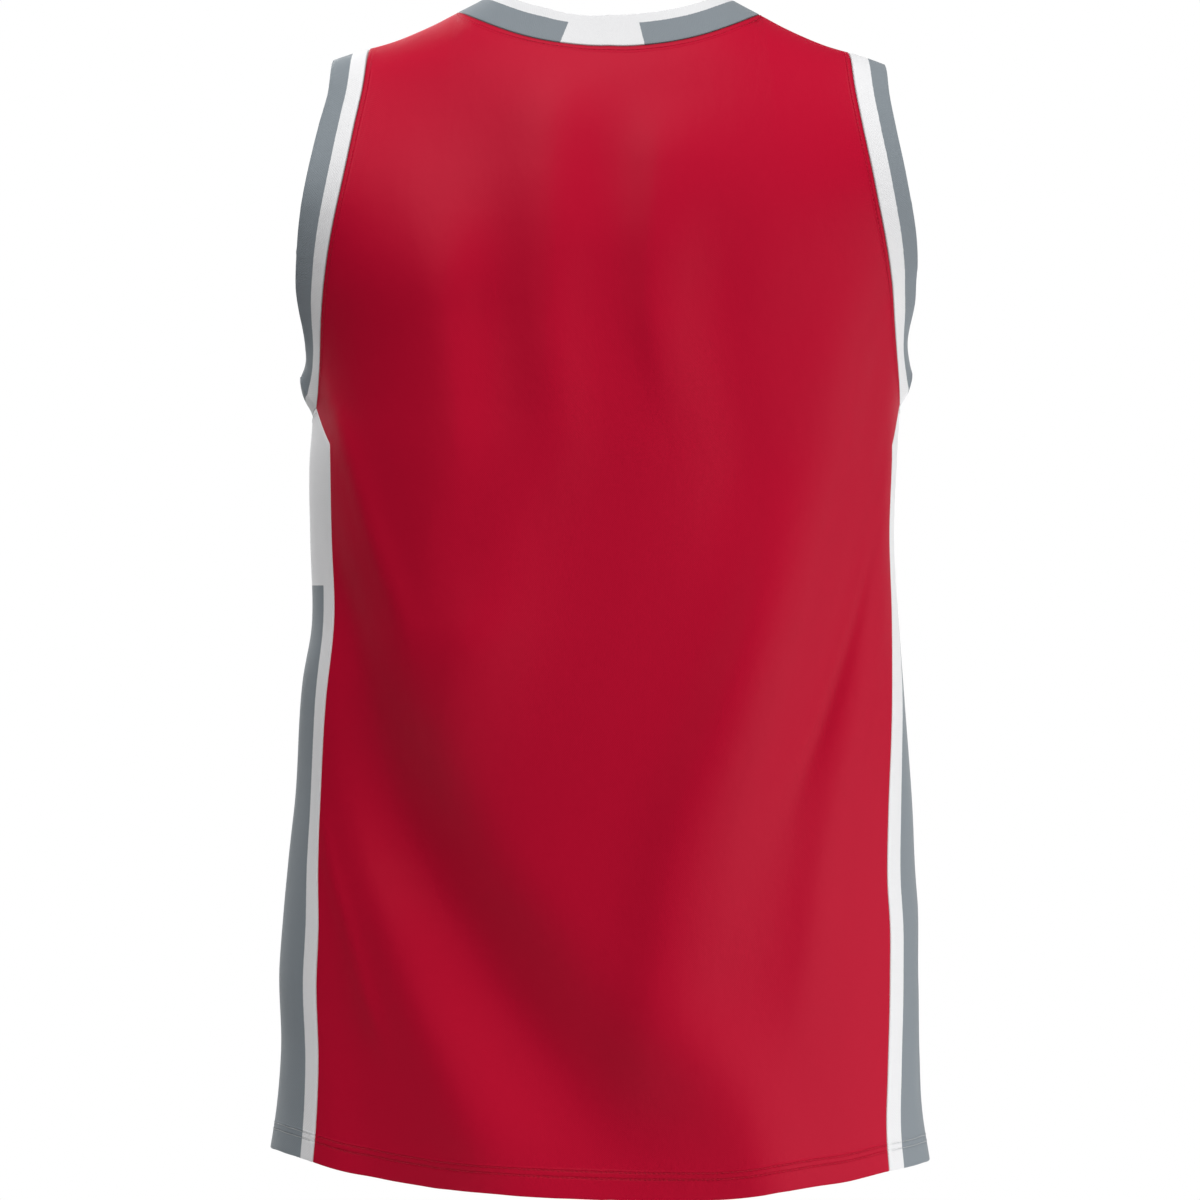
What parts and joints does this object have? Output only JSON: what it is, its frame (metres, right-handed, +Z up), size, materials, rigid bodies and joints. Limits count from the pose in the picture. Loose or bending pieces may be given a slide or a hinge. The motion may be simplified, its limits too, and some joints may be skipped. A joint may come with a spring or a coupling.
{
  "type": "basketball jersey",
  "caption": "Sleeveless basketball jersey in its worn, filled-out form with V-neck, ribbed bands, red body and white and grey side panels.",
  "frame": {"origin": "middle of the shoulder line, where a wearer's shoulders hold the jersey up", "axes": "+X towards the wearer's left, +Y out of the back, -Y out of the front, +Z up"},
  "size_m": [0.4387, 0.2691, 0.7752],
  "materials": {
    "red_knit": "smooth polyester knit with a soft sheen",
    "side_knit": "white polyester mesh knit with a grey centre block",
    "striped_rib": "flat knitted band, grey and white stripes"
  },
  "bodies": {
    "root": {"back": "red_knit", "front": "red_knit", "side_panel_left": "side_knit", "side_panel_right": "side_knit", "collar": "striped_rib", "armhole_band_left": "striped_rib", "armhole_band_right": "striped_rib"}
  },
  "joints": []
}
